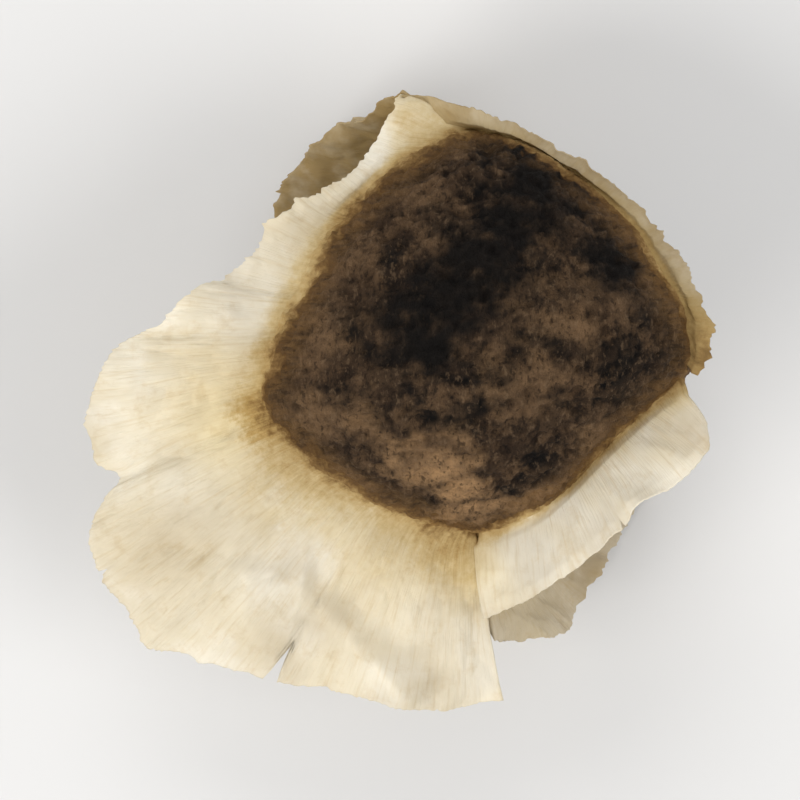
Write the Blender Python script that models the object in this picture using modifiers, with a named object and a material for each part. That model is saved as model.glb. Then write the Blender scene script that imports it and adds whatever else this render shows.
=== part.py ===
"""A moringa seed lying on a surface: a rounded hull with three ridges and a torn papery wing on each.

Units are metres and +Z is up. The seed's axis lies along Y, with the tip at +Y and the base at -Y.
The origin is under the middle of the whole seed, on the surface that it lies on.
Lengths in the tables below are millimetres from the hull's middle, with x right, y to the tip and z up.
"""
import math

import bmesh
import bpy
from mathutils import Vector

MM = 0.001
SEED_NAME = "moringa_seed"

# The hull's middle above the surface; x and y put the origin under the middle of the whole seed.
HULL_MIDDLE = Vector((2.19, 1.97, 5.95)) * MM

# The hull is a rounded body with three ridges that run from tip to base.
HALF_LENGTH = 5.8
BODY_RADIUS = 4.4
BODY_EXPONENT = 1.75
WIDEST_AT = -1.15
WIDEST_SLANT = 0.5
RIDGE_SHARPNESS = 14
LEFT_RIDGE = {"angle": 166.0, "height": 2.0, "tip_exponent": 1.4, "base_exponent": 1.4}
RIGHT_RIDGE = {"angle": 14.0, "height": 2.0, "tip_exponent": 1.4, "base_exponent": 1.1}
UNDER_RIDGE = {"angle": 270.0, "height": 1.75, "tip_exponent": 1.5, "base_exponent": 1.5}
RIDGES = (LEFT_RIDGE, RIGHT_RIDGE, UNDER_RIDGE)
HULL_SIDES = 44
HULL_RINGS = 28

# Shallow dimples are two crossed waves: (per radian about the axis, per millimetre along it, phase).
DIMPLE_DEPTH = 0.09
DIMPLE_WAVES = ((3.0, 1.7, 0.0), (-2.0, 1.3, 0.6))

# The flank beside the right wing is pressed flat.
FLANK = {"depth": 0.8, "angle": 10.0, "spread": 35.0, "at": -3.3, "length": 1.6}

# The hull stands on a small flat spot worn on its under ridge, this far below its middle.
FLAT_SPOT_DEPTH = 5.95

WING_THICKNESS = 0.62
WING_SINK = 1.0
COLUMN_STEP = 0.5
ROW_STEP = 0.95
TOOTH_DEPTH = 0.22
TOOTH_TURNS = (2.4, 0.37)
LEAST_ROWS = 3

# A wing's torn edge: (root angle along its ridge from the tip in degrees, then x, y and z of the edge).
LEFT_EDGE = (
    (0, -2.20, 6.85, 0.2), (20, -2.85, 5.61, 0.7), (41, -3.84, 4.37, 1.2), (53, -5.49, 3.55, 1.5),
    (61, -6.32, 2.48, 1.7), (69, -7.47, 1.45, 1.9), (70.5, -8.30, 1.32, 2.0), (77, -9.29, 0.08, 2.0),
    (81, -10.61, -0.66, 1.9), (87, -11.15, -2.20, 1.5), (94, -10.95, -3.70, 1.0),
    (100, -10.20, -4.20, 0.8), (104, -10.86, -5.10, 0.5), (109, -11.24, -5.94, 0.1),
    (115, -10.90, -7.10, -0.4), (122, -9.95, -8.20, -0.8), (127, -9.60, -9.16, -1.1),
    (135, -7.80, -9.50, -0.9), (142.5, -6.30, -9.92, -0.6), (144.5, -5.72, -8.75, -0.5),
    (145, -5.75, -10.05, -0.6), (154, -4.00, -10.40, -0.6), (166, -1.86, -10.90, -0.9),
    (173, -0.38, -10.92, -1.1), (180, 0.78, -10.56, -1.2),
)
RIGHT_TIP_EDGE = (
    (0, -2.20, 6.85, 0.2), (3, -0.90, 6.65, 0.4), (8, 0.12, 6.35, 0.6), (17, 1.44, 5.78, 0.9),
    (30, 2.76, 5.03, 1.3), (48, 4.35, 3.95, 1.3), (70, 6.00, 1.75, 1.7), (86, 6.75, -0.50, 1.9),
    (93, 6.75, -1.25, 1.9),
)
RIGHT_BASE_EDGE = (
    (97, 6.50, -2.75, 3.0), (104, 6.60, -3.20, 3.5), (118, 5.15, -4.75, 3.6), (135, 3.50, -6.20, 3.0),
    (152, 1.80, -7.50, 1.6), (168, 0.85, -8.00, 0.4), (180, 0.40, -8.10, -0.35),
)
UNDER_TIP_EDGE = (
    (0, -2.20, 6.85, 0.2), (12, -3.00, 6.50, -1.2), (25, -4.10, 5.90, -3.0), (38, -5.30, 4.90, -4.7),
    (50, -5.85, 4.00, -5.5), (62, -6.10, 2.90, -5.62), (72, -5.70, 1.60, -5.62),
    (81, -4.70, 0.70, -5.62),
)
UNDER_BASE_EDGE = (
    (84, 4.30, 0.95, -5.62), (93, 5.10, -0.40, -5.62), (104, 5.30, -2.20, -5.62),
    (118, 5.20, -4.40, -5.62), (134, 4.30, -6.30, -5.5), (150, 2.90, -7.90, -5.0),
    (164, 1.80, -8.80, -3.6), (174, 1.00, -9.00, -2.0), (180, 0.50, -8.90, -0.75),
)

# The right and under wings are torn through, so each stands as a piece towards the tip and one towards
# the base. A wing leaves its ridge straight out and then bends: its spring says how strongly at the
# widest place and how much is added at the ends, and its fold is the height of its radial folds.
LEFT_WING = {
    "name": "left_wing", "ridge": LEFT_RIDGE, "edge": LEFT_EDGE,
    "spring": (0.7, 0.0), "fold": 0.30,
}
RIGHT_TIP_WING = {
    "name": "right_tip_wing", "ridge": RIGHT_RIDGE, "edge": RIGHT_TIP_EDGE,
    "spring": (0.3, 0.0), "fold": 0.0,
}
RIGHT_BASE_WING = {
    "name": "right_base_wing", "ridge": RIGHT_RIDGE, "edge": RIGHT_BASE_EDGE,
    "spring": (0.6, 0.0), "fold": 0.12,
}
UNDER_TIP_WING = {
    "name": "under_tip_wing", "ridge": UNDER_RIDGE, "edge": UNDER_TIP_EDGE,
    "spring": (0.1, 0.4), "fold": 0.0,
}
UNDER_BASE_WING = {
    "name": "under_base_wing", "ridge": UNDER_RIDGE, "edge": UNDER_BASE_EDGE,
    "spring": (0.1, 0.4), "fold": 0.0,
}
WINGS = (LEFT_WING, RIGHT_TIP_WING, RIGHT_BASE_WING, UNDER_TIP_WING, UNDER_BASE_WING)
FOLD_COUNT = 9
FOLD_PHASE = 0.8

SHARP_ANGLE = math.radians(35)


def remove_objects():
    for item in list(bpy.data.objects):
        bpy.data.objects.remove(item, do_unlink=True)


def superellipse(place, exponent):
    """Half-width at a place from 0, the widest, to 1, the end."""
    return max(0.0, 1.0 - place ** exponent) ** (1.0 / exponent)


def hull_point(polar, around):
    """The hull's surface: polar is the angle from the tip and around the angle about the axis from +X."""
    place = math.cos(polar)
    widest = WIDEST_AT + WIDEST_SLANT * math.cos(around)
    span = HALF_LENGTH - widest if place > 0.0 else HALF_LENGTH + widest
    along = widest + place * span
    radius = BODY_RADIUS * superellipse(abs(place), BODY_EXPONENT)
    for ridge in RIDGES:
        apart = around - math.radians(ridge["angle"])
        peak = math.cos(apart / 2.0) ** RIDGE_SHARPNESS
        exponent = ridge["tip_exponent"] if place > 0.0 else ridge["base_exponent"]
        radius += ridge["height"] * peak * superellipse(abs(place), exponent)
    off_angle = math.remainder(around - math.radians(FLANK["angle"]), 2.0 * math.pi)
    off_angle /= math.radians(FLANK["spread"])
    off_along = (along - FLANK["at"]) / FLANK["length"]
    radius -= FLANK["depth"] * math.exp(-off_angle ** 2 - off_along ** 2)
    dimple = 1.0
    for turn, length, phase in DIMPLE_WAVES:
        dimple *= math.sin(turn * around + length * along + phase)
    radius += DIMPLE_DEPTH * dimple * math.sin(polar)
    return Vector((radius * math.cos(around), along, radius * math.sin(around)))


def make_hull():
    mesh = bmesh.new()
    bmesh.ops.create_uvsphere(mesh, u_segments=HULL_SIDES, v_segments=HULL_RINGS, radius=1.0)
    for vertex in mesh.verts:
        polar = math.acos(max(-1.0, min(1.0, vertex.co.z)))
        around = math.atan2(vertex.co.y, vertex.co.x)
        vertex.co = hull_point(polar, around)
    bmesh.ops.reverse_faces(mesh, faces=mesh.faces)
    every = mesh.verts[:] + mesh.edges[:] + mesh.faces[:]
    cut = bmesh.ops.bisect_plane(mesh, geom=every, plane_co=(0, 0, -FLAT_SPOT_DEPTH),
                                 plane_no=(0, 0, -1), clear_outer=True)
    rim = [part for part in cut["geom_cut"] if isinstance(part, bmesh.types.BMEdge)]
    bmesh.ops.contextual_create(mesh, geom=rim)
    bmesh.ops.triangulate(mesh, faces=mesh.faces)
    return mesh


def edge_columns(edge):
    """The torn edge's points at even steps, straight from each listed point to the next."""
    columns = [edge[0]]
    for start, end in zip(edge, edge[1:]):
        length = (Vector(end[1:]) - Vector(start[1:])).length
        steps = max(1, round(length / COLUMN_STEP))
        for step in range(1, steps + 1):
            share = step / steps
            columns.append(tuple(a + (b - a) * share for a, b in zip(start, end)))
    return columns


def tooth(number):
    """How far a column falls short of the torn edge, from 0 to 1, by an uneven rule."""
    return 0.5 + 0.5 * math.sin(TOOTH_TURNS[0] * number) * math.cos(TOOTH_TURNS[1] * number * number)


def wing_point(wing, column, across):
    """A point of a wing's middle surface: across is 0 at the sunk root and 1 at the torn edge."""
    polar = math.radians(column[0])
    surface = hull_point(polar, math.radians(wing["ridge"]["angle"]))
    outward = surface.normalized()
    root = surface - outward * WING_SINK
    edge = Vector(column[1:])
    chord = edge - root
    spring = wing["spring"][0] + wing["spring"][1] * abs(math.cos(polar))
    middle = root + 0.5 * (chord * (1.0 - spring) + outward * chord.length * spring)
    point = root * (1 - across) ** 2 + middle * 2 * across * (1 - across) + edge * across ** 2
    fold = wing["fold"] * across ** 2 * math.sin(FOLD_COUNT * polar + FOLD_PHASE) * math.sin(polar)
    return point + Vector((0, 0, fold))


def wing_width(wing, column):
    return (wing_point(wing, column, 1.0) - wing_point(wing, column, 0.0)).length


def make_wing(wing):
    columns = edge_columns(wing["edge"])
    widest = max(wing_width(wing, column) for column in columns)
    rows = max(LEAST_ROWS, round(widest / ROW_STEP))
    mesh = bmesh.new()
    bmesh.ops.create_grid(mesh, x_segments=len(columns) - 1, y_segments=rows, size=1.0)
    for vertex in mesh.verts:
        number = round((vertex.co.x + 1.0) / 2.0 * (len(columns) - 1))
        column = columns[number]
        reach = 1.0 - TOOTH_DEPTH * tooth(number) / wing_width(wing, column)
        vertex.co = wing_point(wing, column, (vertex.co.y + 1.0) / 2.0 * reach)
    bmesh.ops.triangulate(mesh, faces=mesh.faces)
    return mesh


def add_object(name, mesh, collection):
    """Turn a mesh in millimetres about the hull's middle into an object in metres on the surface."""
    for vertex in mesh.verts:
        vertex.co = vertex.co * MM + HULL_MIDDLE
    data = bpy.data.meshes.new(name)
    mesh.to_mesh(data)
    mesh.free()
    item = bpy.data.objects.new(name, data)
    collection.objects.link(item)
    return item


def applied_mesh(item):
    """The object's mesh with its modifiers applied."""
    graph = bpy.context.evaluated_depsgraph_get()
    return bpy.data.meshes.new_from_object(item.evaluated_get(graph), depsgraph=graph)


def seed_material(name, colour, roughness):
    material = bpy.data.materials.new(name)
    material.use_nodes = True
    shader = material.node_tree.nodes["Principled BSDF"]
    shader.inputs["Base Color"].default_value = colour
    shader.inputs["Roughness"].default_value = roughness
    shader.inputs["Metallic"].default_value = 0.0
    return material


def main():
    remove_objects()
    seed_collection = bpy.data.collections.new(SEED_NAME)
    wing_collection = bpy.data.collections.new("wings_to_join")
    for collection in (seed_collection, wing_collection):
        bpy.context.scene.collection.children.link(collection)

    hull_look = seed_material("dark_hull", (0.030, 0.020, 0.014, 1.0), 0.6)
    wing_look = seed_material("papery_wing", (0.76, 0.68, 0.49, 1.0), 0.7)

    seed = add_object(SEED_NAME, make_hull(), seed_collection)
    seed.data.materials.append(hull_look)
    seed.data.materials.append(wing_look)

    for wing in WINGS:
        blade = add_object(wing["name"], make_wing(wing), wing_collection)
        blade.data.materials.append(hull_look)
        blade.data.materials.append(wing_look)
        for face in blade.data.polygons:
            face.material_index = 1
        thickness = blade.modifiers.new("paper", "SOLIDIFY")
        thickness.thickness = WING_THICKNESS * MM
        thickness.offset = 0.0

    union = seed.modifiers.new("grown_together", "BOOLEAN")
    union.operation = "UNION"
    union.operand_type = "COLLECTION"
    union.collection = wing_collection
    union.solver = "EXACT"
    joined = applied_mesh(seed)
    seed.modifiers.remove(union)
    seed.data = joined
    for blade in list(wing_collection.objects):
        bpy.data.objects.remove(blade, do_unlink=True)
    bpy.data.collections.remove(wing_collection)
    seed.data.shade_smooth()
    seed.data.set_sharp_from_angle(angle=SHARP_ANGLE)


main()
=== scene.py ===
import math

import bpy
import numpy as np
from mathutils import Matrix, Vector, noise


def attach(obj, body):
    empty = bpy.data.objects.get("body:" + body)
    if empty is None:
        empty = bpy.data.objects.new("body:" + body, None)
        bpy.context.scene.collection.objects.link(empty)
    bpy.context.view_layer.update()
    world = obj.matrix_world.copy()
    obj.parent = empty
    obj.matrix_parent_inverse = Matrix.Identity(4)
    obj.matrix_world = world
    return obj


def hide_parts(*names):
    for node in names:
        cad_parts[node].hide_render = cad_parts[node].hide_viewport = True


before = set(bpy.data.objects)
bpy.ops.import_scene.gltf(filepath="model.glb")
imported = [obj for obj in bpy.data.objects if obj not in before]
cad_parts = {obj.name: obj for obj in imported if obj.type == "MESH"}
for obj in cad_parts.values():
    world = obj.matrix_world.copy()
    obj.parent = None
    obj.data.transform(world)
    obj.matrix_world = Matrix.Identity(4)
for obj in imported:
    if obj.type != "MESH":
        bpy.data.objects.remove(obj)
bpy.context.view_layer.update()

MM = 0.001
NODE = "moringa_seed"
HULL_MIDDLE = np.array((2.19, 1.97, 5.95))

# The hull's form, as in the part.
HALF_LENGTH = 5.8
BODY_RADIUS = 4.4
BODY_EXPONENT = 1.75
WIDEST_AT = -1.15
WIDEST_SLANT = 0.5
RIDGE_SHARPNESS = 14
LEFT_RIDGE = {"angle": 166.0, "height": 2.0, "tip_exponent": 1.4, "base_exponent": 1.4}
RIGHT_RIDGE = {"angle": 14.0, "height": 2.0, "tip_exponent": 1.4, "base_exponent": 1.1}
UNDER_RIDGE = {"angle": 270.0, "height": 1.75, "tip_exponent": 1.5, "base_exponent": 1.5}
RIDGES = (LEFT_RIDGE, RIGHT_RIDGE, UNDER_RIDGE)
DIMPLE_DEPTH = 0.09
DIMPLE_WAVES = ((3.0, 1.7, 0.0), (-2.0, 1.3, 0.6))
FLANK = {"depth": 0.8, "angle": 10.0, "spread": 35.0, "at": -3.3, "length": 1.6}
FLAT_SPOT_DEPTH = 5.95

# The fine hull and the relief on it. Here and below, a shift picks which part of the noise is used.
# The relief is calmer on the ridges. The steps are for finding directions on the smooth hull.
HULL_SIDES = 356
HULL_RINGS = 272
LUMPS = {"size": 1.5, "height": 0.09, "shift": 3.1}
WRINKLES = {"size": 0.62, "height": 0.075, "shift": 5.3, "sharpness": 3.0}
WRINKLE_WARP = {"size": 1.24, "by": 0.35, "shift": 9.7}
GROOVES = {"size": 0.24, "depth": 0.045, "shift": 1.9, "begin": 0.55}
RIDGE_CALM = {"least": 0.35, "begin": 0.2, "end": 0.9}
POLAR_STEP = 0.004
SIDE_STEP = 0.01

# Worn, lighter places on the hull, partly real wear and partly painted light on its flanks: (x, y, z,
# radius, how pale, how red).
WORN_AND_LIT_PLACES = (
    (-1.75, 3.8, 2.6, 0.95, 0.50, 0.05), (-3.2, 2.2, 3.2, 0.9, 0.50, 0.05),
    (-4.4, 0.2, 3.4, 1.2, 0.60, 0.10), (-4.6, -2.3, 3.4, 1.1, 0.55, 0.20),
    (-3.2, -2.8, 3.7, 1.0, 0.35, 0.25), (2.4, 0.2, 4.3, 1.3, 0.60, 0.10),
    (1.4, -1.5, 4.3, 1.4, 0.60, 0.10), (-1.3, -3.9, 3.2, 1.3, 0.80, 0.60),
    (-0.7, -4.5, 3.0, 1.1, 0.90, 0.95), (-0.5, -5.4, 1.6, 1.3, 0.90, 0.80),
    (3.2, -3.1, 2.6, 0.8, 0.40, 0.30), (-3.4, -4.4, 1.6, 1.1, 0.60, 0.30),
    (1.3, -4.8, 1.6, 1.0, 0.78, 0.40), (-2.4, 1.0, -4.4, 1.6, 0.50, 0.40),
    (3.2, -2.2, -3.6, 1.5, 0.60, 0.70), (2.6, 3.0, -2.6, 1.2, 0.40, 0.20),
)

# The darkest places, partly the coat's own near-black and partly painted shade on the top, which
# faces straight up, and along the upper right rim: (x, y, z, radius).
DARK_AND_SHADED_PLACES = (
    (1.6, 4.8, 1.2, 1.0), (1.6, 4.1, 2.4, 1.2), (2.6, 4.1, 1.4, 0.9), (1.0, 3.0, 3.3, 1.2),
    (0.1, 2.0, 3.9, 1.35), (-0.8, 1.1, 4.2, 1.5), (-1.7, 0.1, 4.2, 1.35), (-1.0, -0.4, 4.4, 1.0),
    (3.9, 1.9, 3.0, 1.0), (-1.0, -1.2, -4.8, 1.6),
)

# These places end raggedly: reach is how many radii out they end, ragged how far the noise moves
# their ends and soft how wide they are.
PLACE_NOISE = {"size": (0.95, 0.6, 0.8), "shift": 12.0}
WORN_AND_LIT_END = {"reach": 1.2, "ragged": 0.9, "soft": 1.2}
DARK_AND_SHADED_END = {"reach": 1.6, "ragged": 0.7, "soft": 1.3}

# The paper's look reaches this far in over the hull, and further at these places: (x, y, radius, by).
# The place at (3.6, 3.3) holds it back, so that the dark coat stands there as painted shade along the rim.
PALE_REACH = 0.32
PALE_PLACES = (
    (-5.5, 0.7, 1.6, 0.55), (-4.3, 2.8, 1.6, 0.16), (-5.5, -0.9, 0.8, 0.05), (-6.2, -2.8, 1.1, -0.50),
    (0.0, -6.2, 1.0, -0.15), (6.5, -0.7, 1.2, -0.95), (3.6, 3.3, 1.9, -0.20), (1.7, -5.4, 1.1, 0.50),
    (-4.9, 2.0, 0.7, 0.52), (-2.7, 4.6, 1.0, 0.22), (-2.8, -5.1, 1.2, 0.22), (-5.1, -3.8, 0.8, 0.20),
    (0.3, -5.0, 0.8, -0.15),
)

# A wing's torn edge: (root angle along its ridge from the tip in degrees, x, y and z of the edge,
# how ragged it is there).
LEFT_EDGE = (
    (0, -2.20, 6.85, 0.2, 0.3), (20, -2.85, 5.61, 0.7, 0.5), (41, -3.84, 4.37, 1.2, 0.8),
    (53, -5.49, 3.55, 1.5, 1.0), (61, -6.32, 2.48, 1.7, 1.0), (69, -7.47, 1.45, 1.9, 1.0),
    (70.5, -8.12, 1.20, 2.0, 0.8), (77, -9.29, 0.08, 2.0, 0.8), (81, -10.61, -0.66, 1.9, 0.9),
    (87, -11.15, -2.20, 1.5, 0.8), (94, -10.95, -3.70, 1.0, 0.7), (100, -10.20, -4.20, 0.8, 0.6),
    (104, -10.86, -5.10, 0.5, 0.6), (109, -11.24, -5.94, 0.1, 0.7), (115, -10.90, -7.10, -0.4, 0.7),
    (122, -9.95, -8.20, -0.8, 0.7), (127, -9.60, -9.16, -1.1, 0.6), (135, -7.80, -9.50, -0.9, 0.5),
    (142.5, -6.30, -9.92, -0.6, 0.4), (145, -5.75, -10.05, -0.6, 0.4), (154, -4.00, -10.40, -0.6, 0.4),
    (166, -1.86, -10.90, -0.9, 0.4), (173, -0.38, -10.92, -1.1, 0.4), (180, 0.78, -10.56, -1.2, 0.3),
)
RIGHT_TIP_EDGE = (
    (0, -2.20, 6.85, 0.2, 0.3), (3, -0.90, 6.65, 0.4, 0.5), (8, 0.12, 6.35, 0.6, 0.6),
    (17, 1.44, 5.78, 0.9, 0.7), (30, 2.76, 5.03, 1.3, 0.8), (48, 4.35, 3.95, 1.3, 0.8),
    (70, 6.00, 1.75, 1.7, 0.8), (83, 6.75, -0.30, 1.9, 0.9), (88, 6.68, -0.85, 1.8, 0.9),
    (93, 6.34, -1.30, 1.65, 0.5),
)
RIGHT_BASE_EDGE = (
    (97, 6.55, -2.65, 2.3, 0.35), (104, 6.60, -3.20, 2.6, 0.35), (118, 5.15, -4.70, 2.5, 0.3),
    (135, 3.50, -6.15, 2.0, 0.3), (152, 1.90, -7.45, 1.1, 0.3), (168, 0.75, -8.05, 0.35, 0.35),
    (180, 0.15, -8.30, -0.05, 0.35),
)
UNDER_TIP_EDGE = (
    (0, -2.20, 6.85, 0.2, 0.3), (12, -3.00, 6.50, -1.2, 0.6), (25, -4.10, 5.90, -3.0, 0.7),
    (38, -5.30, 4.90, -4.7, 0.7), (50, -5.85, 4.00, -5.5, 0.7), (62, -6.10, 2.90, -5.62, 0.7),
    (72, -5.70, 1.60, -5.62, 0.7), (81, -4.70, 0.70, -5.62, 0.7),
)
UNDER_BASE_EDGE = (
    (84, 4.30, 0.95, -5.62, 0.6), (93, 5.10, -0.40, -5.62, 0.7), (104, 5.30, -2.20, -5.62, 0.7),
    (118, 5.20, -4.40, -5.62, 0.7), (134, 4.20, -6.30, -5.5, 0.7), (148, 3.30, -7.90, -5.0, 0.6),
    (156, 2.95, -8.65, -4.2, 0.5), (166, 1.90, -8.95, -3.2, 0.5), (174, 1.00, -9.00, -2.0, 0.4),
    (180, 0.50, -8.90, -0.75, 0.3),
)

# A wing's spring and fold are the part's. root is how far its brown root is drawn out, fillet how far
# the coat flares where it meets the hull, rows how many rows of faces the sheet has, slack how much
# of the waves it takes, and tan how much browner it is than the left wing, partly its own tint and partly
# painted shade on the right tip wing and the under wings. Each wing's noise lies WING_SHIFT away from
# the last one's.
WINGS = (
    {"name": "left_wing", "ridge": LEFT_RIDGE, "edge": LEFT_EDGE, "spring": (0.7, 0.0), "fold": 0.30,
     "root": 1.0, "fillet": 0.85, "rows": 84, "slack": 1.0, "tan": 0.0},
    {"name": "right_tip_wing", "ridge": RIGHT_RIDGE, "edge": RIGHT_TIP_EDGE, "spring": (0.3, 0.0),
     "fold": 0.0, "root": 1.0, "fillet": 0.5, "rows": 24, "slack": 0.8, "tan": 0.80},
    {"name": "right_base_wing", "ridge": RIGHT_RIDGE, "edge": RIGHT_BASE_EDGE, "spring": (0.6, 0.0),
     "fold": 0.12, "root": 0.4, "fillet": 0.4, "rows": 40, "slack": 0.5, "tan": 0.0},
    {"name": "under_tip_wing", "ridge": UNDER_RIDGE, "edge": UNDER_TIP_EDGE, "spring": (0.1, 0.4),
     "fold": 0.0, "root": 1.0, "fillet": 0.6, "rows": 56, "slack": 1.0, "tan": 0.95},
    {"name": "under_base_wing", "ridge": UNDER_RIDGE, "edge": UNDER_BASE_EDGE, "spring": (0.1, 0.4),
     "fold": 0.0, "root": 1.0, "fillet": 0.6, "rows": 60, "slack": 1.0, "tan": 0.45},
)
WING_SHIFT = 10.0
FOLD_COUNT = 9
FOLD_PHASE = 0.8

# A sheet's curve starts WING_SINK inside the ridge's crest, and the piece closes ROOT_SINK inside it. A
# column of points stands at every COLUMN_STEP along the torn edge. The coat flares out to the sheet
# over FILLET_ROWS, on at most FILLET_MOST of the wing's width.
WING_SINK = 1.0
ROOT_SINK = 0.6
COLUMN_STEP = 0.075
FILLET_ROWS = 9
FILLET_SINK = 0.06
FILLET_MOST = 0.4
FLARE_RELIEF = 0.5
LEAST_WIDTH = 0.3
WIDTH_SAMPLES = 12
REACH_LIMITS = (0.12, 1.15)
FLOOR_GAP = 0.02

# The paper's thickness: at its rim, further in, and what is added at its root.
PAPER = {"edge": 0.05, "sheet": 0.15, "root": 0.30, "root_length": 0.9, "taper": (-0.02, 0.35)}

# The dark coat goes over into paper between these distances from the crest, and the sheet goes from
# held to free between those.
COAT_TO_PAPER = (-0.3, 0.5)
HELD_TO_FREE = (0.15, 1.6)

# Teeth are (size along the edge, depth, how much they come to points), with how far the noise swings
# pointed and round ones. A sliver is a narrow shred left standing out.
TEETH = ((1.3, 0.17, 0.6), (0.5, 0.15, 0.5), (0.19, 0.08, 1.0))
POINTED_SWING = 3.2
ROUND_SWING = 1.8
SLIVER = {"size": 0.11, "length": 0.22, "rarity": 0.55, "soft": 0.2, "shift": 21.0}

# Cracks run in from the edge: (x, y of the mouth, half width, depth).
CRACKS = {
    "left_wing": ((-5.90, -10.0, 0.20, 1.20), (-10.9, -7.0, 0.06, 0.25)),
    "right_base_wing": ((4.2, -5.6, 0.06, 0.3),),
    "under_base_wing": ((5.2, -3.4, 0.1, 0.8),),
}

# Creases: (x, y of one end, x, y of the other, width, height). A crease begins low and is at its full
# height after the first quarter of its length.
CREASES = {
    "left_wing": (
        (-4.85, -6.4, -5.40, -9.0, 0.24, 0.28), (-5.2, -7.1, -2.0, -10.6, 0.48, 0.40),
        (-4.2, -7.0, -1.3, -9.9, 0.70, -0.32), (-9.5, -6.1, -5.6, -6.5, 0.50, -0.36),
        (-7.4, -2.9, -10.6, -2.2, 0.55, 0.22), (-7.0, -4.4, -10.2, -4.9, 0.5, 0.16),
        (-6.6, 0.4, -8.9, 0.9, 0.4, 0.14), (-6.4, -5.4, -8.9, -8.2, 0.6, 0.20),
        (-0.9, -7.6, -0.2, -10.2, 0.35, 0.12),
    ),
}
CREASE_BEGIN = {"height": 0.25, "length": 0.25}

# The sheet's relief: broad waves, crumples ((size along the edge and across, height)), fibres and a
# curl of the rim. Sizes are along the edge and across the wing.
SHEET_WAVES = {"size": (2.2, 4.0), "height": 0.20, "shift": 2.3}
CRUMPLES = (((1.5, 2.3), 0.16), ((0.62, 0.95), 0.06), ((0.28, 0.5), 0.022))
CRUMPLE_FORM = {"top": 0.4, "sharpness": 2.0, "shift": 7.9}
FIBRES = {"size": (0.17, 2.6), "height": 0.010, "shift": 4.4, "full_at": 0.6}
EDGE_CURL = {"size": 1.3, "height": 0.28, "reach": 0.9, "shift": 8.8, "begin": 0.5, "full_at": 2.5}

# The brown root is drawn out less on a narrow wing, and more at these places: (x, y, radius, by).
NARROW = {"width": 4.2, "least": 0.12}
LONG_ROOTS = (
    (-0.6, -7.0, 2.4, 0.8), (0.1, -6.7, 0.9, 1.8), (-6.4, -3.8, 1.3, 0.15), (-3.9, -5.1, 0.9, -0.35),
    (-5.6, -5.6, 1.0, 0.35), (-1.9, 6.2, 0.9, 3.0), (6.5, -0.5, 1.3, 8.0), (-6.3, 0.5, 1.2, -0.45),
    (1.4, -6.1, 0.8, -0.90),
)

# Stained and golden places on the wings: (x, y, radius, by). The stains are partly real stains and
# partly painted shade.
STAINS_AND_SHADE = (
    (-9.1, -6.3, 1.7, 0.34), (6.3, -3.0, 0.9, 0.40), (3.6, -7.2, 1.0, 0.32), (-4.5, -8.3, 0.8, 0.28),
    (-1.4, -9.9, 0.8, 0.18), (-6.2, -9.1, 1.1, 0.20), (-5.0, -6.1, 0.7, 0.16), (6.7, -0.6, 1.1, -0.45),
)
# Painted highlights: places where the paper is whitened as if its facets caught the light: (x, y, radius,
# by).
HIGHLIGHT_PLACES = (
    (-5.9, -7.2, 0.9, 1.1), (-8.5, -4.3, 0.9, 0.8), (-7.2, -2.9, 1.3, 1.0), (0.2, -10.0, 0.8, 0.8),
    (1.2, -6.5, 0.9, 1.0), (2.1, -6.6, 0.8, 0.9), (-9.8, -3.2, 0.6, 0.6), (-6.7, 0.5, 1.1, 0.9),
    (-1.5, -8.2, 1.0, 0.5), (0.1, -8.7, 0.8, 0.6),
)
GOLDEN_PLACES = ((-7.2, -2.7, 1.5, 1.0), (0.1, -7.0, 0.9, 0.6))

# The pieces are laid out on a flat map: a wing's body takes this much of its width, its ends two strips.
MAP_NAME = "OFBake"
BODY_OF_MAP = 0.95
END_STRIPS = (0.96, 0.98)
END_STRIP_WIDTH = 0.015

# Colours are linear.
NEAR_BLACK = (0.0035, 0.0028, 0.0024, 1)
DARK_BROWN = (0.026, 0.0150, 0.0085, 1)
WORN_AND_LIT_BROWN = (0.142, 0.084, 0.043, 1)
RUSSET = (0.405, 0.240, 0.112, 1)
FLECK = (0.20, 0.130, 0.074, 1)
RIM_BROWN = (0.150, 0.082, 0.030, 1)
ROOT_STOPS = (
    (-1.0, (0.056, 0.029, 0.011, 1)), (-0.6, (0.118, 0.063, 0.023, 1)), (-0.25, (0.240, 0.142, 0.052, 1)),
    (0.2, (0.500, 0.350, 0.150, 1)), (0.8, (0.640, 0.505, 0.275, 1)), (1.5, (0.735, 0.630, 0.420, 1)),
    (3.0, (0.800, 0.725, 0.560, 1)),
)
# Pale cream, also the colour of the painted highlights.
PALE_CREAM_AND_HIGHLIGHT = (0.90, 0.855, 0.74, 1)
GOLD = (1.0, 0.93, 0.72, 1)
CREAM_GREY = (0.89, 0.88, 0.87, 1)
CREAM_SHADE = (0.80, 0.70, 0.53, 1)
# Tan, partly the wings' own and partly painted shade.
TAN_AND_SHADE = (0.345, 0.235, 0.090, 1)
FLOOR_COLOUR = (0.66, 0.66, 0.66, 1)
FLOOR_CLOUD = (0.6402, 0.6402, 0.6402, 1)
ROOM_COLOUR = (0.98, 0.985, 1.0, 1)

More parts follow.
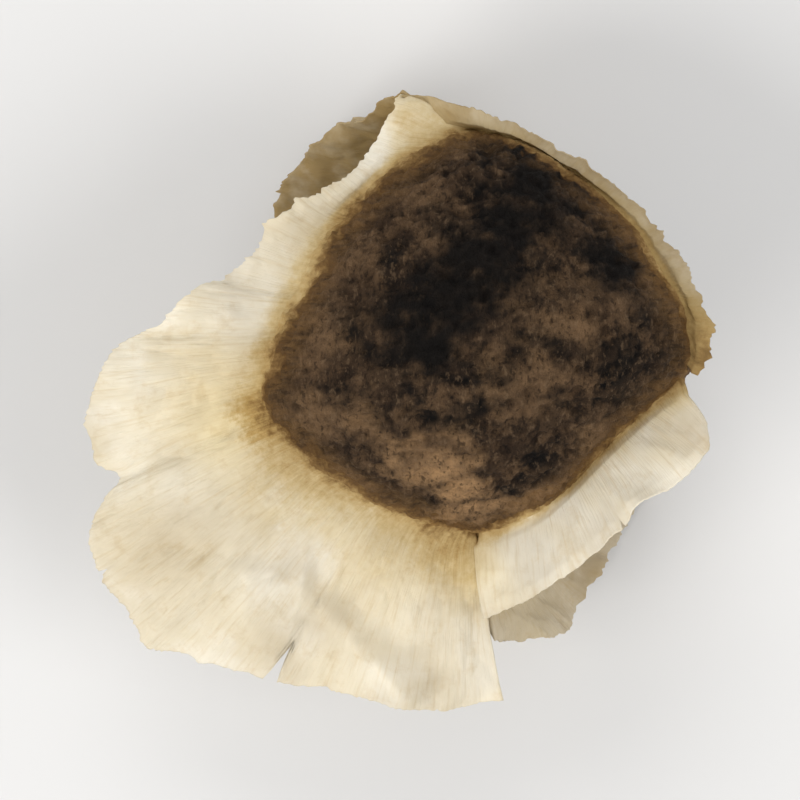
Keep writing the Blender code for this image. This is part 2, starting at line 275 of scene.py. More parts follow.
# The noises that the shading reads: (scale, detail, roughness, stretch along x, y and z). The fibres of
# the rim and the paper and the streaks are read where x runs along the ridge or the torn edge and y
# away from the ridge, and the others in the object's own place.
NOISES = {
    "brown": (0.7, 4.0, 0.65, None),
    "worn": (1.2, 5.0, 0.66, None),
    "specks": (4.5, 4.0, 0.80, None),
    "coat_fibres": (1.0, 3.0, 0.70, (6.5, 3.0, 6.5)),
    "coat_grain": (1.0, 4.0, 0.80, (6.5, 3.0, 6.5)),
    "rim_fibres": (1.0, 3.0, 0.70, (6.0, 1.2, 1.0)),
    "clouds": (0.42, 3.0, 0.55, None),
    "grey": (0.36, 2.0, 0.50, None),
    "streaks": (1.0, 3.0, 0.60, (7.0, 0.6, 1.0)),
    "mottle": (1.7, 4.0, 0.65, None),
    "tan": (0.8, 4.0, 0.60, None),
    "root_streaks": (1.0, 2.0, 0.60, (3.2, 0.30, 1.0)),
    "root_patches": (0.9, 3.0, 0.60, None),
    "root_fringe": (5.0, 4.0, 0.75, None),
    "paper_fibres": (1.0, 3.0, 0.70, (13.0, 0.8, 1.0)),
    "floor": (18.0, 3.0, 0.50, None),
}

# What the shading makes of a value: between the first two numbers it goes smoothly from the third
# to the fourth.
RANGES = {
    "brown": (0.36, 0.66, 0.0, 1.0),
    "worn": (0.46, 0.70, 0.0, 0.56),
    "pale": (0.32, 0.64, 0.42, 1.0),
    "red": (0.32, 0.64, 0.42, 0.85),
    "raised_lit": (-0.08, 0.12, 0.0, 0.28),
    "fleck": (0.55, 0.66, 0.0, 0.26),
    "black_fibres": (0.46, 0.34, 0.0, 0.60),
    "near_rim": (-1.9, -0.6, 0.0, 1.0),
    "rim_fibres": (0.36, 0.60, 0.25, 0.80),
    "clouds": (0.42, 0.66, 0.0, 1.0),
    "clouds_out": (0.8, 2.4, 0.0, 0.8),
    "highlight_out": (0.3, 1.2, 0.0, 0.8),
    "grey": (0.42, 0.62, 0.0, 0.9),
    "streaks": (0.48, 0.76, 0.0, 0.45),
    "mottle": (0.50, 0.74, 0.0, 0.40),
    "tan": (0.36, 0.60, 0.75, 1.0),
    "root_streaks": (0.25, 0.75, -0.15, 0.15),
    "root_patches": (0.25, 0.75, -0.32, 0.32),
    "root_fringe": (0.25, 0.75, -0.22, 0.22),
    "papery": (-1.0, -0.45, 0.0, 1.0),
    "coat_rough": (0.3, 0.7, 0.74, 0.50),
    "paper_rough": (0.3, 0.7, 0.62, 0.82),
    "room": (0.2, 1.0, 0.75, 0.30),
}
DARKNESS = 0.97
SPECULAR = 0.08
PAPER_GLOW = 0.22
COAT_BUMP = 0.13
PAPER_BUMP = 0.04
FLOOR_ROUGHNESS = 0.8

# The floor and the lamps are in metres: (name, place, size, power, colour). The camera is in
# millimetres, apart from the metres that it sees between.
FLOOR_HALF = 0.9
LAMP_AIM = (0.0, 0.0, 0.005)
LAMPS = (
    ("key", (-0.48, -0.38, 0.48), 0.52, 4.22, (1.0, 0.98, 0.95)),
    ("fill", (0.46, -0.20, 0.46), 0.50, 2.4, (1.0, 0.985, 0.96)),
    ("high", (-0.10, 0.56, 0.44), 0.50, 2.1, (1.0, 0.985, 0.96)),
)
CAMERA = {"lens": 300.0, "sensor": 36.0, "shown_width": 23.0, "clip": (0.005, 10.0)}


def superellipse(place, exponent):
    """Half-width at a place from 0, the widest, to 1, the end."""
    return np.maximum(0.0, 1.0 - place ** exponent) ** (1.0 / exponent)


def turn_between(angle, other):
    """The signed turn from one angle to another, at most half a turn."""
    return (angle - other + np.pi) % (2.0 * np.pi) - np.pi


def hull_points(polar, around):
    """The smooth hull: polar is the angle from the tip and around the angle about the axis from +X."""
    place = np.cos(polar)
    to_tip = place > 0.0
    size = np.abs(place)
    widest = WIDEST_AT + WIDEST_SLANT * np.cos(around)
    along = widest + place * np.where(to_tip, HALF_LENGTH - widest, HALF_LENGTH + widest)
    radius = BODY_RADIUS * superellipse(size, BODY_EXPONENT)
    for ridge in RIDGES:
        peak = np.cos((around - math.radians(ridge["angle"])) / 2.0) ** RIDGE_SHARPNESS
        exponent = np.where(to_tip, ridge["tip_exponent"], ridge["base_exponent"])
        radius = radius + ridge["height"] * peak * superellipse(size, exponent)
    off_angle = turn_between(around, math.radians(FLANK["angle"])) / math.radians(FLANK["spread"])
    off_along = (along - FLANK["at"]) / FLANK["length"]
    radius = radius - FLANK["depth"] * np.exp(-off_angle ** 2 - off_along ** 2)
    dimple = 1.0
    for turn, length, phase in DIMPLE_WAVES:
        dimple = dimple * np.sin(turn * around + length * along + phase)
    radius = radius + DIMPLE_DEPTH * dimple * np.sin(polar)
    return np.stack((radius * np.cos(around), along, radius * np.sin(around)), axis=-1)


def unit(vectors):
    length = np.linalg.norm(vectors, axis=-1, keepdims=True)
    return vectors / np.maximum(length, 1e-9)


def smooth_step(value, low, high):
    share = np.clip((value - low) / (high - low), 0.0, 1.0)
    return share * share * (3.0 - 2.0 * share)


def noise_of(points, sizes, octaves, shift):
    """Soft noise from about -1 to 1 at points, with its grain as large as sizes says."""
    scaled = np.asarray(points, float) / np.asarray(sizes, float) + shift
    found = [noise.fractal(Vector(place), 1.0, 2.0, octaves) for place in scaled.reshape(-1, 3)]
    return np.array(found).reshape(scaled.shape[:-1])


def walls_of(points, size, shift):
    """0 on the walls between cells of about this size and towards 1 in their middles."""
    found = []
    for place in (points / size + shift).reshape(-1, 3):
        near = noise.voronoi(Vector(place))[0]
        found.append(near[1] - near[0])
    return np.clip(np.array(found).reshape(points.shape[:-1]), 0.0, 1.0)


def coat_relief(points):
    """How far the hull's coat stands out at these places: soft lumps, fine wrinkles and a net of grooves."""
    lumps = noise_of(points, LUMPS["size"], octaves=2, shift=LUMPS["shift"])
    warp = WRINKLE_WARP["by"] * noise_of(points, WRINKLE_WARP["size"], octaves=1, shift=WRINKLE_WARP["shift"])
    swing = noise_of(points + warp[..., None], WRINKLES["size"], octaves=3, shift=WRINKLES["shift"])
    wrinkles = 1.0 - np.abs(swing) * WRINKLES["sharpness"]
    walls = 1.0 - walls_of(points, GROOVES["size"], GROOVES["shift"])
    relief = LUMPS["height"] * lumps + WRINKLES["height"] * np.clip(wrinkles, -1.0, 1.0)
    return relief - GROOVES["depth"] * smooth_step(walls, GROOVES["begin"], 1.0)


def wear_light_and_shade_at(points):
    """How pale, how red and how dark the coat is at these places, as wear and as painted light and shade."""
    ragged = noise_of(points, PLACE_NOISE["size"], octaves=4, shift=PLACE_NOISE["shift"])

    def near(middle, radius, end):
        distance = np.linalg.norm(points - np.array(middle), axis=-1) / radius
        return smooth_step(end["reach"] - distance + end["ragged"] * ragged, 0.0, end["soft"])

    pale, red, dark = np.zeros((3, *points.shape[:-1]))
    for *middle, radius, paleness, redness in WORN_AND_LIT_PLACES:
        share = near(middle, radius, WORN_AND_LIT_END)
        pale = np.maximum(pale, paleness * share)
        red = np.maximum(red, redness * share)
    for *middle, radius in DARK_AND_SHADED_PLACES:
        dark = np.maximum(dark, near(middle, radius, DARK_AND_SHADED_END))
    return pale, red, dark


def near_places(points, places):
    """The sum of soft spots, (x, y, radius, by), at these points."""
    total = np.zeros(points.shape[:-1])
    for x, y, radius, by in places:
        away = np.hypot(points[..., 0] - x, points[..., 1] - y) / radius
        total += by * np.exp(-away ** 2)
    return total


def pale_reach(points):
    """How far in over the hull the paper's look reaches at these points."""
    return PALE_REACH + near_places(points, PALE_PLACES)


def ridge_distance(points, around):
    """How far a place on the hull is from the nearest ridge line, measured round the hull."""
    radius = np.hypot(points[..., 0], points[..., 2])
    turns = [np.abs(turn_between(around, math.radians(ridge["angle"]))) for ridge in RIDGES]
    return radius * np.minimum.reduce(turns)


def add_piece(name, points, faces, maps, values):
    """A mesh object from points in millimetres about the hull's middle, with values on its vertices."""
    placed = (points.reshape(-1, 3) + HULL_MIDDLE) * MM
    mesh = bpy.data.meshes.new(name)
    mesh.from_pydata([tuple(place) for place in placed], [], faces)
    flat_map = mesh.uv_layers.new(name=MAP_NAME)
    flat_map.data.foreach_set("uv", [part for face in maps for place in face for part in place])
    for key, numbers in values.items():
        flat = np.asarray(numbers, np.float32).reshape(len(placed), -1)
        kind, field = ("FLOAT_VECTOR", "vector") if flat.shape[1] == 3 else ("FLOAT", "value")
        layer = mesh.attributes.new(key, kind, "POINT")
        layer.data.foreach_set(field, flat.ravel())
    mesh.shade_smooth()
    piece = bpy.data.objects.new(name, mesh)
    bpy.context.scene.collection.objects.link(piece)
    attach(piece, "root")
    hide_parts(NODE)
    return piece


def ball_faces(rings, sides):
    """Faces and their places on a flat map, for rings of points with a pole after the last of them."""
    faces = []
    maps = []
    last = (rings - 1) * sides
    tip, base = rings * sides, rings * sides + 1
    heights = [(ring + 1) / (rings + 1) for ring in range(rings)]
    for side in range(sides):
        after = (side + 1) % sides
        left, right = side / sides, (side + 1) / sides
        middle = (left + right) / 2
        for ring in range(rings - 1):
            start, end = ring * sides, (ring + 1) * sides
            low, high = heights[ring], heights[ring + 1]
            faces.append((start + side, start + after, end + after, end + side))
            maps.append(((left, low), (right, low), (right, high), (left, high)))
        faces.append((tip, after, side))
        maps.append(((middle, 0.0), (right, heights[0]), (left, heights[0])))
        faces.append((base, last + side, last + after))
        maps.append(((middle, 1.0), (left, heights[-1]), (right, heights[-1])))
    return faces, maps


def make_hull():
    """The hull, in rings of points from the tip to the base and with a point at either pole."""
    polar = np.linspace(0.0, np.pi, HULL_RINGS + 1)[1:-1, None]
    around = np.linspace(0.0, 2.0 * np.pi, HULL_SIDES, endpoint=False)[None, :]
    polar, around = np.broadcast_arrays(polar, around)
    smooth = hull_points(polar, around)
    down = hull_points(polar + POLAR_STEP, around) - hull_points(polar - POLAR_STEP, around)
    across = hull_points(polar, around + POLAR_STEP) - hull_points(polar, around - POLAR_STEP)
    outward = unit(np.cross(across, down))
    from_ridge = ridge_distance(smooth, around)
    calm = smooth_step(from_ridge, RIDGE_CALM["begin"], RIDGE_CALM["end"])
    calm = RIDGE_CALM["least"] + (1.0 - RIDGE_CALM["least"]) * calm
    relief = coat_relief(smooth)
    body = smooth + outward * (relief * calm)[..., None]
    tip = hull_points(np.array(0.0), np.array(0.0))
    base = hull_points(np.array(np.pi), np.array(0.0))
    points = np.vstack((body.reshape(-1, 3), tip, base))
    points[:, 2] = np.maximum(points[:, 2], -FLAT_SPOT_DEPTH)
    pale, red, dark = wear_light_and_shade_at(smooth)
    at_poles = (0.0, 0.0)
    fibre = np.stack((smooth[..., 1], -from_ridge, np.zeros(polar.shape)), -1).reshape(-1, 3)
    values = {
        "out": np.append(pale_reach(smooth) - from_ridge, at_poles),
        "pale": np.append(pale, at_poles),
        "red": np.append(red, at_poles),
        "dark": np.append(dark, at_poles),
        "relief": np.append(relief, at_poles),
        "tan": np.zeros(len(points)),
        "gold": np.zeros(len(points)),
        "fibre": np.vstack((fibre, np.zeros((2, 3)))),
    }
    return add_piece("hull", points, *ball_faces(len(body), HULL_SIDES), values)


def edge_columns(edge):
    """The stations' values at even steps along the torn edge, on cubics that never overshoot."""
    knots = np.array(edge, float)
    lengths = np.linalg.norm(np.diff(knots[:, 1:4], axis=0), axis=1)
    at = np.concatenate(([0.0], np.cumsum(lengths)))
    places = np.linspace(0.0, at[-1], round(at[-1] / COLUMN_STEP) + 1)
    slopes = np.diff(knots, axis=0) / lengths[:, None]
    product = slopes[:-1] * slopes[1:]
    total = slopes[:-1] + slopes[1:]
    inner = np.where(product > 0.0, 2.0 * product / np.where(total == 0.0, 1.0, total), 0.0)
    tangents = np.vstack((slopes[:1], inner, slopes[-1:]))
    index = np.clip(np.searchsorted(at, places, side="right") - 1, 0, len(lengths) - 1)
    span = lengths[index][:, None]
    share = (places - at[index])[:, None] / span
    columns = (knots[index] * (1 + 2 * share) * (1 - share) ** 2
               + knots[index + 1] * share ** 2 * (3 - 2 * share)
               + tangents[index] * span * share * (1 - share) ** 2
               - tangents[index + 1] * span * share ** 2 * (1 - share))
    return places, columns


def torn_depth(wing, places, columns, shift):
    """How far each column falls short of the smooth edge: teeth, slivers and cracks."""
    line = np.stack((places, np.full(len(places), shift), np.zeros(len(places))), axis=-1)
    depth = np.zeros(len(places))
    for size, height, pointed in TEETH:
        swing = noise_of(line, size, octaves=1, shift=size)
        peaks = 1.0 - POINTED_SWING * np.abs(swing)
        depth += height * (pointed * peaks + (1.0 - pointed) * ROUND_SWING * swing)
    sliver = noise_of(line, SLIVER["size"], octaves=1, shift=SLIVER["shift"])
    depth -= SLIVER["length"] * smooth_step(sliver, SLIVER["rarity"], SLIVER["rarity"] + SLIVER["soft"])
    depth *= columns[:, 4]
    for x, y, half_width, length in CRACKS.get(wing["name"], ()):
        nearest = np.argmin(np.hypot(columns[:, 1] - x, columns[:, 2] - y))
        beside = np.abs(places - places[nearest]) / half_width
        depth += length * np.clip(1.0 - beside, 0.0, 1.0)
    return depth


def crease_height(creases, x, y):
    """How far the sheet stands up at these places."""
    height = np.zeros(x.shape)
    low = CREASE_BEGIN["height"]
    for x0, y0, x1, y1, width, lift in creases:
        along = np.array((x1 - x0, y1 - y0))
        share = ((x - x0) * along[0] + (y - y0) * along[1]) / (along @ along)
        share = np.clip(share, 0.0, 1.0)
        away = np.hypot(x - x0 - share * along[0], y - y0 - share * along[1])
        rise = low + (1.0 - low) * smooth_step(share, 0.0, CREASE_BEGIN["length"])
        height += lift * np.exp(-(away / width) ** 2) * rise
    return height


def sheet_middle(wing, columns, shares):
    """The sheet's middle surface, a row of points for each column from its crest to its torn edge."""
    polar = np.radians(columns[:, 0])
    ridge = math.radians(wing["ridge"]["angle"])
    crest = hull_points(polar, np.full(len(polar), ridge))
    outward = unit(crest)
    root = crest - outward * WING_SINK
    edge = columns[:, 1:4]
    chord = edge - root
    length = np.linalg.norm(chord, axis=1)[:, None]
    spring = (wing["spring"][0] + wing["spring"][1] * np.abs(np.cos(polar)))[:, None]
    bend = root + 0.5 * (chord * (1.0 - spring) + outward * length * spring)
    crest_share = WING_SINK / np.maximum(2.0 * np.linalg.norm(bend - root, axis=1), WING_SINK)
    across = crest_share[:, None] + (shares - crest_share[:, None] * shares)
    across = across[..., None]
    root, bend, edge = root[:, None], bend[:, None], edge[:, None]
    points = root * (1 - across) ** 2 + bend * 2 * across * (1 - across) + edge * across ** 2
    fold = wing["fold"] * across[..., 0] ** 2
    fold = fold * (np.sin(FOLD_COUNT * polar + FOLD_PHASE) * np.sin(polar))[:, None]
    points[..., 2] += fold
    return polar, ridge, crest, outward, points


def side_of_ridge(polar, ridge):
    """The way across the ridge, level with the coat, at each polar angle."""
    step = np.full(len(polar), SIDE_STEP)
    return unit(hull_points(polar, ridge + step) - hull_points(polar, ridge - step))


def sheet_relief(wing, places, out, rim, shift):
    """How far the sheet stands off its smooth middle, and how free each place is of the ridge."""
    along_edge = np.broadcast_to(places[:, None], out.shape)
    sheet_at = np.stack((along_edge, out, np.full(out.shape, shift)), axis=-1)
    free = smooth_step(out, *HELD_TO_FREE)
    waves = noise_of(sheet_at, (*SHEET_WAVES["size"], 1.0), octaves=2, shift=SHEET_WAVES["shift"])
    waves = SHEET_WAVES["height"] * waves
    for size, height in CRUMPLES:
        swing = np.abs(noise_of(sheet_at, (*size, 1.0), octaves=1, shift=CRUMPLE_FORM["shift"]))
        waves += height * (CRUMPLE_FORM["top"] - CRUMPLE_FORM["sharpness"] * swing)
    fibres = noise_of(sheet_at, (*FIBRES["size"], 1.0), octaves=1, shift=FIBRES["shift"])
    fibres = FIBRES["height"] * fibres * smooth_step(out, 0.0, FIBRES["full_at"])
    curl_at = sheet_at * np.array((1.0, 0.0, 1.0))
    curl = EDGE_CURL["height"] * noise_of(curl_at, EDGE_CURL["size"], octaves=2, shift=EDGE_CURL["shift"])
    curl = curl * np.exp(-rim / EDGE_CURL["reach"])
    curl = curl * smooth_step(out, EDGE_CURL["begin"], EDGE_CURL["full_at"])
    return wing["slack"] * waves * free + fibres + curl, free


def wing_sheet(wing, shift):
    """The wing's torn and crumpled middle surface, with how far out and how far from its rim it lies."""
    places, columns = edge_columns(wing["edge"])
    depth = torn_depth(wing, places, columns, shift)
    full = sheet_middle(wing, columns, np.linspace(0.0, 1.0, WIDTH_SAMPLES)[None, :])[4]
    width = np.linalg.norm(np.diff(full, axis=1), axis=2).sum(axis=1)
    reach = np.clip(1.0 - depth / np.maximum(width, LEAST_WIDTH), *REACH_LIMITS)
    fillet = np.minimum(wing["fillet"], FILLET_MOST * width * reach)
    begin = (fillet / np.maximum(width, LEAST_WIDTH))[:, None]
    even = np.linspace(0.0, 1.0, wing["rows"] + 1)[None, :]
    shares = begin + (reach[:, None] - begin) * even
    polar, ridge, crest, outward, middle = sheet_middle(wing, columns, shares)

    steps = np.linalg.norm(np.diff(middle, axis=1), axis=2)
    out = fillet[:, None] + np.pad(np.cumsum(steps, axis=1), ((0, 0), (1, 0)))
    rim = out[:, -1:] - out
    normal = unit(np.cross(np.gradient(middle, axis=1), np.gradient(middle, axis=0)))
    side = side_of_ridge(polar, ridge)
    if (normal[:, 1] * side).sum() < 0.0:
        normal = -normal

    lift, free = sheet_relief(wing, places, out, rim, shift)
    middle = middle + normal * lift[..., None]
    if wing["name"] in CREASES:
        middle[..., 2] += crease_height(CREASES[wing["name"]], middle[..., 0], middle[..., 1]) * free
    return {"places": places, "polar": polar, "ridge": ridge, "crest": crest, "outward": outward,
            "side": side, "width": width, "fillet": fillet, "middle": middle, "normal": normal,
            "out": out, "rim": rim}


def wing_face(wing, sheet, sign):
    """One face of the wing, a row of points a column: the coat's flare, then the sheet out to its rim."""
    out, rim, polar, crest = sheet["out"], sheet["rim"], sheet["polar"], sheet["crest"]
    thick = PAPER["sheet"] + PAPER["root"] * np.exp(-out / PAPER["root_length"])
    thick = PAPER["edge"] + (thick - PAPER["edge"]) * smooth_step(rim, *PAPER["taper"])
    face = sheet["middle"] + sign * sheet["normal"] * thick[..., None] / 2.0
    radius = np.hypot(crest[:, 0], crest[:, 2])
    turn = wing["fillet"] / np.maximum(radius, wing["fillet"])
    foot = hull_points(polar, sheet["ridge"] + sign * turn)
    foot = foot - unit(foot) * FILLET_SINK
    corner = crest + sign * sheet["side"] * thick[:, :1] / 2.0
    share = np.linspace(0.0, 1.0, FILLET_ROWS + 1)[None, :-1, None]
    flare = (foot[:, None] * (1 - share) ** 2 + corner[:, None] * 2 * share * (1 - share)
             + face[:, :1] * share ** 2)
    return np.concatenate((flare, face), axis=1)


def round_the_sheet(rows, edge, sunk):
    """Values round a column's whole section: one face out, the edge line, the other face back, the root."""
    first, second = rows
    return np.concatenate((first, edge, second[:, ::-1], sunk), axis=1)


def section_faces(count, around):
    """Faces and their places on a flat map, for count sections of so many points, closed at both ends."""
    half = (around - 2) // 2
    faces = []
    maps = []
    for column in range(count - 1):
        left, right = (BODY_OF_MAP * part / (count - 1) for part in (column, column + 1))
        start, end = column * around, (column + 1) * around
        for row in range(around):
            after = (row + 1) % around
            low, high = row / around, (row + 1) / around
            faces.append((start + row, end + row, end + after, start + after))
            maps.append(((left, low), (right, low), (right, high), (left, high)))
    for column, left in ((0, END_STRIPS[0]), (count - 1, END_STRIPS[1])):
        start = column * around
        right = left + END_STRIP_WIDTH
        heights = [(row + 1) / (half + 1) for row in range(half)]
        cap = [((start, start + around - 1, start + around - 2),
                ((left, heights[0]), (left, 0.0), (right, heights[0])))]
        for row in range(half - 1):
            other = start + around - 2 - row
            cap.append(((start + row, other, other - 1, start + row + 1),
                        ((left, heights[row]), (right, heights[row]), (right, heights[row + 1]),
                         (left, heights[row + 1]))))
        cap.append(((start + half - 1, start + half + 1, start + half),
                    ((left, heights[-1]), (right, heights[-1]), (left, 1.0))))
        turn = -1 if column == 0 else 1
        for face, places in cap:
            faces.append(face[::turn])
            maps.append(places[::turn])
    return faces, maps


def make_wing(wing, shift):
    """A wing with both its faces. Its "pale" is wear and painted light on the coat and painted highlight on
    the paper.
    """
    sheet = wing_sheet(wing, shift)
    out, crest, middle = sheet["out"], sheet["crest"], sheet["middle"]
    sunk = (crest - sheet["outward"] * ROOT_SINK)[:, None]
    both_faces = [wing_face(wing, sheet, sign) for sign in (1.0, -1.0)]
    points = round_the_sheet(both_faces, middle[:, -1:], sunk)

    flare_shares = np.linspace(0.0, 1.0, FILLET_ROWS + 1)[None, :-1]
    flare_out = (sheet["fillet"][:, None] + wing["fillet"]) * flare_shares - wing["fillet"]
    out_rows = np.concatenate((flare_out, out), axis=1)
    out_round = round_the_sheet((out_rows, out_rows), out_rows[:, -1:], out_rows[:, :1])
    coat = 1.0 - smooth_step(out_round, *COAT_TO_PAPER)
    relief = coat_relief(points) * coat
    points = points + unit(points) * (relief * FLARE_RELIEF)[..., None]
    points[..., 2] = np.maximum(points[..., 2], -FLAT_SPOT_DEPTH + FLOOR_GAP)

    root = wing["root"] * np.clip(sheet["width"] / NARROW["width"], NARROW["least"], 1.0)[:, None]
    root = root * (1.0 + near_places(points, LONG_ROOTS))
    drawn_out = np.where(out_round > 0.0, out_round / root, out_round) + pale_reach(points)
    along_edge = np.broadcast_to(sheet["places"][:, None], out_round.shape)
    pale, red, dark = wear_light_and_shade_at(points)
    values = {
        "out": drawn_out,
        "pale": pale * coat + np.minimum(near_places(points, HIGHLIGHT_PLACES), 1.0) * (1.0 - coat),
        "red": red * coat,
        "dark": dark * coat,
        "relief": relief,
        "tan": np.minimum(wing["tan"] + near_places(points, STAINS_AND_SHADE), 1.0),
        "gold": np.minimum(near_places(points, GOLDEN_PLACES), 1.0),
        "fibre": np.stack((along_edge, out_round, np.full(out_round.shape, shift)), axis=-1),
    }
    return add_piece(wing["name"], points, *section_faces(*points.shape[:2]), values)


# Shading helpers: a socket given as a value is linked, and anything else is set.
def set_input(tree, socket, value):
    if isinstance(value, bpy.types.NodeSocket):
        tree.links.new(value, socket)
    else:
        socket.default_value = value


def add_node(tree, kind, inputs=None, **settings):
    made = tree.nodes.new(kind)
    for name, value in settings.items():
        setattr(made, name, value)
    for name, value in (inputs or {}).items():
        set_input(tree, made.inputs[name], value)
    return made


def attribute(tree, name, output="Fac"):
    return add_node(tree, "ShaderNodeAttribute", attribute_name=name).outputs[output]


def place_in(tree):
    """Where a point is in its object, in metres."""
    return add_node(tree, "ShaderNodeTexCoord").outputs["Object"]


def maths(tree, operation, first, second):
    made = add_node(tree, "ShaderNodeMath", {0: first, 1: second}, operation=operation)
    return made.outputs[0]


def times(tree, first, second):
    return maths(tree, "MULTIPLY", first, second)


def ranged(tree, name, value):
    """What RANGES makes of a value."""
    low, high, new_low, new_high = RANGES[name]
    inputs = {"Value": value, "From Min": low, "From Max": high, "To Min": new_low, "To Max": new_high}
    made = add_node(tree, "ShaderNodeMapRange", inputs, interpolation_type="SMOOTHSTEP")
    return made.outputs[0]


def noise_at(tree, name, where):
    """One of NOISES at a place."""
    scale, detail, roughness, stretch = NOISES[name]
    if stretch:
        stretched = add_node(tree, "ShaderNodeVectorMath", {0: where, 1: stretch}, operation="MULTIPLY")
        where = stretched.outputs[0]
    inputs = {"Vector": where, "Scale": scale, "Detail": detail, "Roughness": roughness}
    return add_node(tree, "ShaderNodeTexNoise", inputs).outputs[0]


def ranged_noise(tree, name, where):
    return ranged(tree, name, noise_at(tree, name, where))


def blend(tree, share, first, second, kind="MIX"):
    """Two colours blended."""
    made = add_node(tree, "ShaderNodeMix", data_type="RGBA", blend_type=kind)
    for index, value in ((0, share), (6, first), (7, second)):
        set_input(tree, made.inputs[index], value)
    return made.outputs[2]


def mix(tree, share, first, second):
    """Two numbers mixed."""
    return add_node(tree, "ShaderNodeMix", {0: share, 2: first, 3: second}).outputs[0]


def colour_ramp(tree, value, stops):
    """Colours at places along a value, which is first brought between 0 and 1."""
    low, high = stops[0][0], stops[-1][0]
    inputs = {"Value": value, "From Min": low, "From Max": high}
    share = add_node(tree, "ShaderNodeMapRange", inputs).outputs[0]
    made = add_node(tree, "ShaderNodeValToRGB", {"Fac": share})
    marks = made.color_ramp.elements
    while len(marks) < len(stops):
        marks.new(0.5)
    for mark, (place, colour) in zip(marks, stops):
        mark.position = (place - low) / (high - low)
        mark.color = colour
    return made.outputs[0]


def coat_colour(tree, where):
    """The hull's mottled dark coat, with fine fibres along it."""
    # The dark places darken the coat's lighter layers, partly as its own near-black and partly as painted
    # shade.
    light = maths(tree, "SUBTRACT", 1.0, times(tree, attribute(tree, "dark"), DARKNESS))
    specks = noise_at(tree, "specks", where)
    fibres = noise_at(tree, "coat_fibres", where)
    brown = ranged_noise(tree, "brown", where)
    worn = ranged_noise(tree, "worn", where)
    # The pale share is partly wear and partly painted light on the flanks.
    pale = times(tree, attribute(tree, "pale"), ranged(tree, "pale", specks))
    red = times(tree, attribute(tree, "red"), ranged(tree, "red", specks))
    # The relief's raised places are lighter, partly as wear and partly as painted light on its highs.
    raised_lit = ranged(tree, "raised_lit", attribute(tree, "relief"))
    fleck = ranged(tree, "fleck", fibres)
    rim_fibres = ranged_noise(tree, "rim_fibres", attribute(tree, "fibre", "Vector"))
    rim = times(tree, ranged(tree, "near_rim", attribute(tree, "out")), rim_fibres)
    layers = (
        (times(tree, brown, light), DARK_BROWN), (times(tree, worn, light), WORN_AND_LIT_BROWN),
        (pale, WORN_AND_LIT_BROWN), (red, RUSSET), (times(tree, raised_lit, light), WORN_AND_LIT_BROWN),
        (times(tree, fleck, light), FLECK), (ranged(tree, "black_fibres", fibres), NEAR_BLACK),
        (times(tree, rim, light), RIM_BROWN),
    )
    colour = NEAR_BLACK
    for share, over in layers:
        colour = blend(tree, share, colour, over)
    return colour


def paper_colour(tree, where, drawn_out):
    """The wings' cream paper, with darker fibres, a brown root, painted highlights and a tan that is partly
    painted shade.
    """
    clouds = times(tree, ranged_noise(tree, "clouds", where), ranged(tree, "clouds_out", drawn_out))
    # Painted highlights, at the bright places.
    painted_highlight = times(tree, attribute(tree, "pale"), ranged(tree, "highlight_out", drawn_out))
    streaks = ranged_noise(tree, "streaks", attribute(tree, "fibre", "Vector"))
    # The tan is partly the wings' own tint and partly painted shade.
    tan = times(tree, attribute(tree, "tan"), ranged_noise(tree, "tan", where))
    layers = (
        (maths(tree, "MAXIMUM", clouds, painted_highlight), PALE_CREAM_AND_HIGHLIGHT, "MIX"),
        (attribute(tree, "gold"), GOLD, "MULTIPLY"),
        (ranged_noise(tree, "grey", where), CREAM_GREY, "MULTIPLY"),
        (streaks, CREAM_SHADE, "MULTIPLY"),
        (ranged_noise(tree, "mottle", where), CREAM_SHADE, "MULTIPLY"),
        (tan, TAN_AND_SHADE, "MIX"),
    )
    colour = colour_ramp(tree, drawn_out, ROOT_STOPS)
    for share, over, kind in layers:
        colour = blend(tree, share, colour, over, kind)
    return colour


def new_material(name):
    """A new material with its node tree and its shader."""
    material = bpy.data.materials.new(name)
    material.use_nodes = True
    return material, material.node_tree, material.node_tree.nodes["Principled BSDF"]


def skin_material():
    """One coat covers the seed: it is dark on the hull, brown at the ridges and cream on the wings."""
    material, tree, shader = new_material("seed_coat")
    in_mm = add_node(tree, "ShaderNodeVectorMath", {0: place_in(tree), "Scale": 1.0 / MM}, operation="SCALE")
    where = in_mm.outputs[0]
    fibre_at = attribute(tree, "fibre", "Vector")
    streaks = noise_at(tree, "root_streaks", fibre_at)
    uneven = maths(tree, "ADD", ranged(tree, "root_streaks", streaks),
                   ranged_noise(tree, "root_patches", where))
    uneven = maths(tree, "ADD", uneven, ranged_noise(tree, "root_fringe", where))
    drawn_out = maths(tree, "ADD", attribute(tree, "out"), uneven)
    papery = ranged(tree, "papery", drawn_out)
    colour = blend(tree, papery, coat_colour(tree, where), paper_colour(tree, where, drawn_out))
    set_input(tree, shader.inputs["Base Color"], colour)

    grain = noise_at(tree, "coat_grain", where)
    rough = mix(tree, papery, ranged(tree, "coat_rough", grain), ranged(tree, "paper_rough", streaks))
    set_input(tree, shader.inputs["Roughness"], rough)
    shader.inputs["Specular IOR Level"].default_value = SPECULAR

    height = mix(tree, papery, grain, noise_at(tree, "paper_fibres", fibre_at))
    depth = mix(tree, papery, COAT_BUMP * MM, PAPER_BUMP * MM)
    bump = add_node(tree, "ShaderNodeBump", {"Distance": depth, "Height": height})
    set_input(tree, shader.inputs["Normal"], bump.outputs[0])

    glow = add_node(tree, "ShaderNodeBsdfTranslucent", {"Color": colour})
    share = times(tree, papery, PAPER_GLOW)
    both = add_node(tree, "ShaderNodeMixShader", {0: share, 1: shader.outputs[0], 2: glow.outputs[0]})
    set_input(tree, tree.nodes["Material Output"].inputs["Surface"], both.outputs[0])
    return material


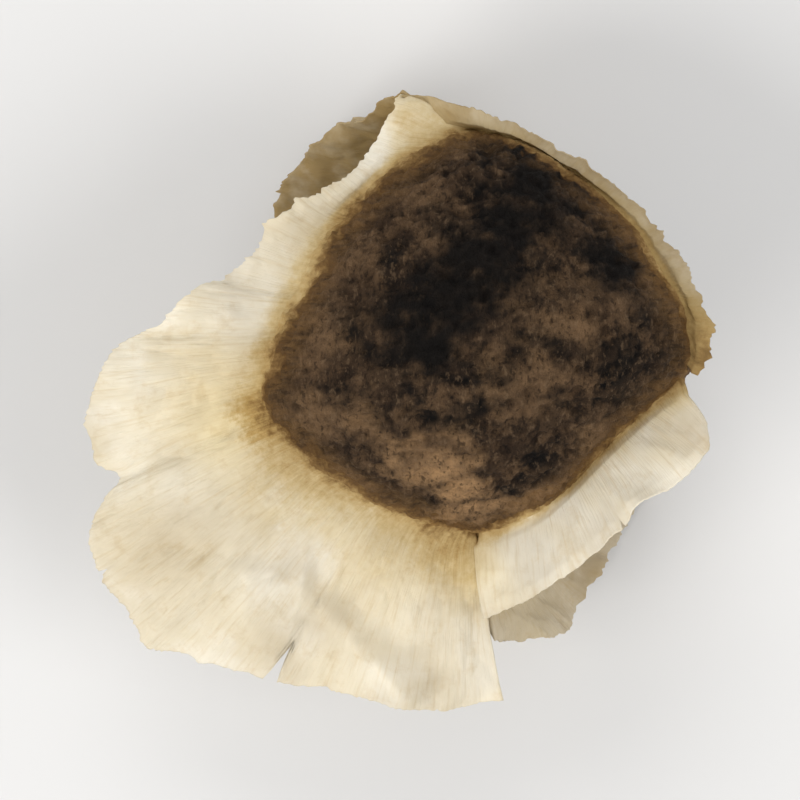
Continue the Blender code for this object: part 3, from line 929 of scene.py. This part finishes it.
def floor_material():
    material, tree, shader = new_material("plain_floor")
    clouds = noise_at(tree, "floor", place_in(tree))
    set_input(tree, shader.inputs["Base Color"], blend(tree, clouds, FLOOR_COLOUR, FLOOR_CLOUD))
    shader.inputs["Roughness"].default_value = FLOOR_ROUGHNESS
    return material


def make_floor():
    mesh = bpy.data.meshes.new("floor")
    half = FLOOR_HALF
    corners = ((-half, -half, 0), (half, -half, 0), (half, half, 0), (-half, half, 0))
    mesh.from_pydata(corners, [], [(0, 1, 2, 3)])
    floor = bpy.data.objects.new("floor", mesh)
    mesh.materials.append(floor_material())
    bpy.context.scene.collection.objects.link(floor)


def add_lamp(name, place, size, power, colour):
    data = bpy.data.lights.new(name, "AREA")
    data.shape = "DISK"
    data.size = size
    data.energy = power
    data.color = colour
    lamp = bpy.data.objects.new(name, data)
    lamp.location = place
    lamp.rotation_euler = (Vector(LAMP_AIM) - Vector(place)).to_track_quat("-Z", "Y").to_euler()
    lamp.visible_camera = False
    bpy.context.scene.collection.objects.link(lamp)


def make_lights():
    """The lamps, and a soft pale room that is brighter towards the horizon."""
    for lamp in LAMPS:
        add_lamp(*lamp)
    world = bpy.data.worlds.new("soft_room")
    bpy.context.scene.world = world
    world.use_nodes = True
    tree = world.node_tree
    background = tree.nodes["Background"]
    direction = add_node(tree, "ShaderNodeTexCoord").outputs["Generated"]
    height = add_node(tree, "ShaderNodeSeparateXYZ", {0: direction}).outputs["Z"]
    set_input(tree, background.inputs["Strength"], ranged(tree, "room", height))
    background.inputs["Color"].default_value = ROOM_COLOUR


def make_camera():
    """The camera looks straight down, as the photograph does on the seed."""
    data = bpy.data.cameras.new("camera")
    data.lens = CAMERA["lens"]
    data.sensor_width = CAMERA["sensor"]
    data.clip_start, data.clip_end = CAMERA["clip"]
    distance = CAMERA["shown_width"] * CAMERA["lens"] / CAMERA["sensor"]
    camera = bpy.data.objects.new("camera", data)
    camera.location = (0.0, 0.0, (distance + HULL_MIDDLE[2]) * MM)
    bpy.context.scene.collection.objects.link(camera)
    bpy.context.scene.camera = camera


make_camera()
skin = skin_material()
pieces = [make_hull()] + [make_wing(wing, WING_SHIFT * number) for number, wing in enumerate(WINGS)]
for piece in pieces:
    piece.data.materials.append(skin)
make_floor()
make_lights()
bpy.context.scene.view_settings.view_transform = "Standard"
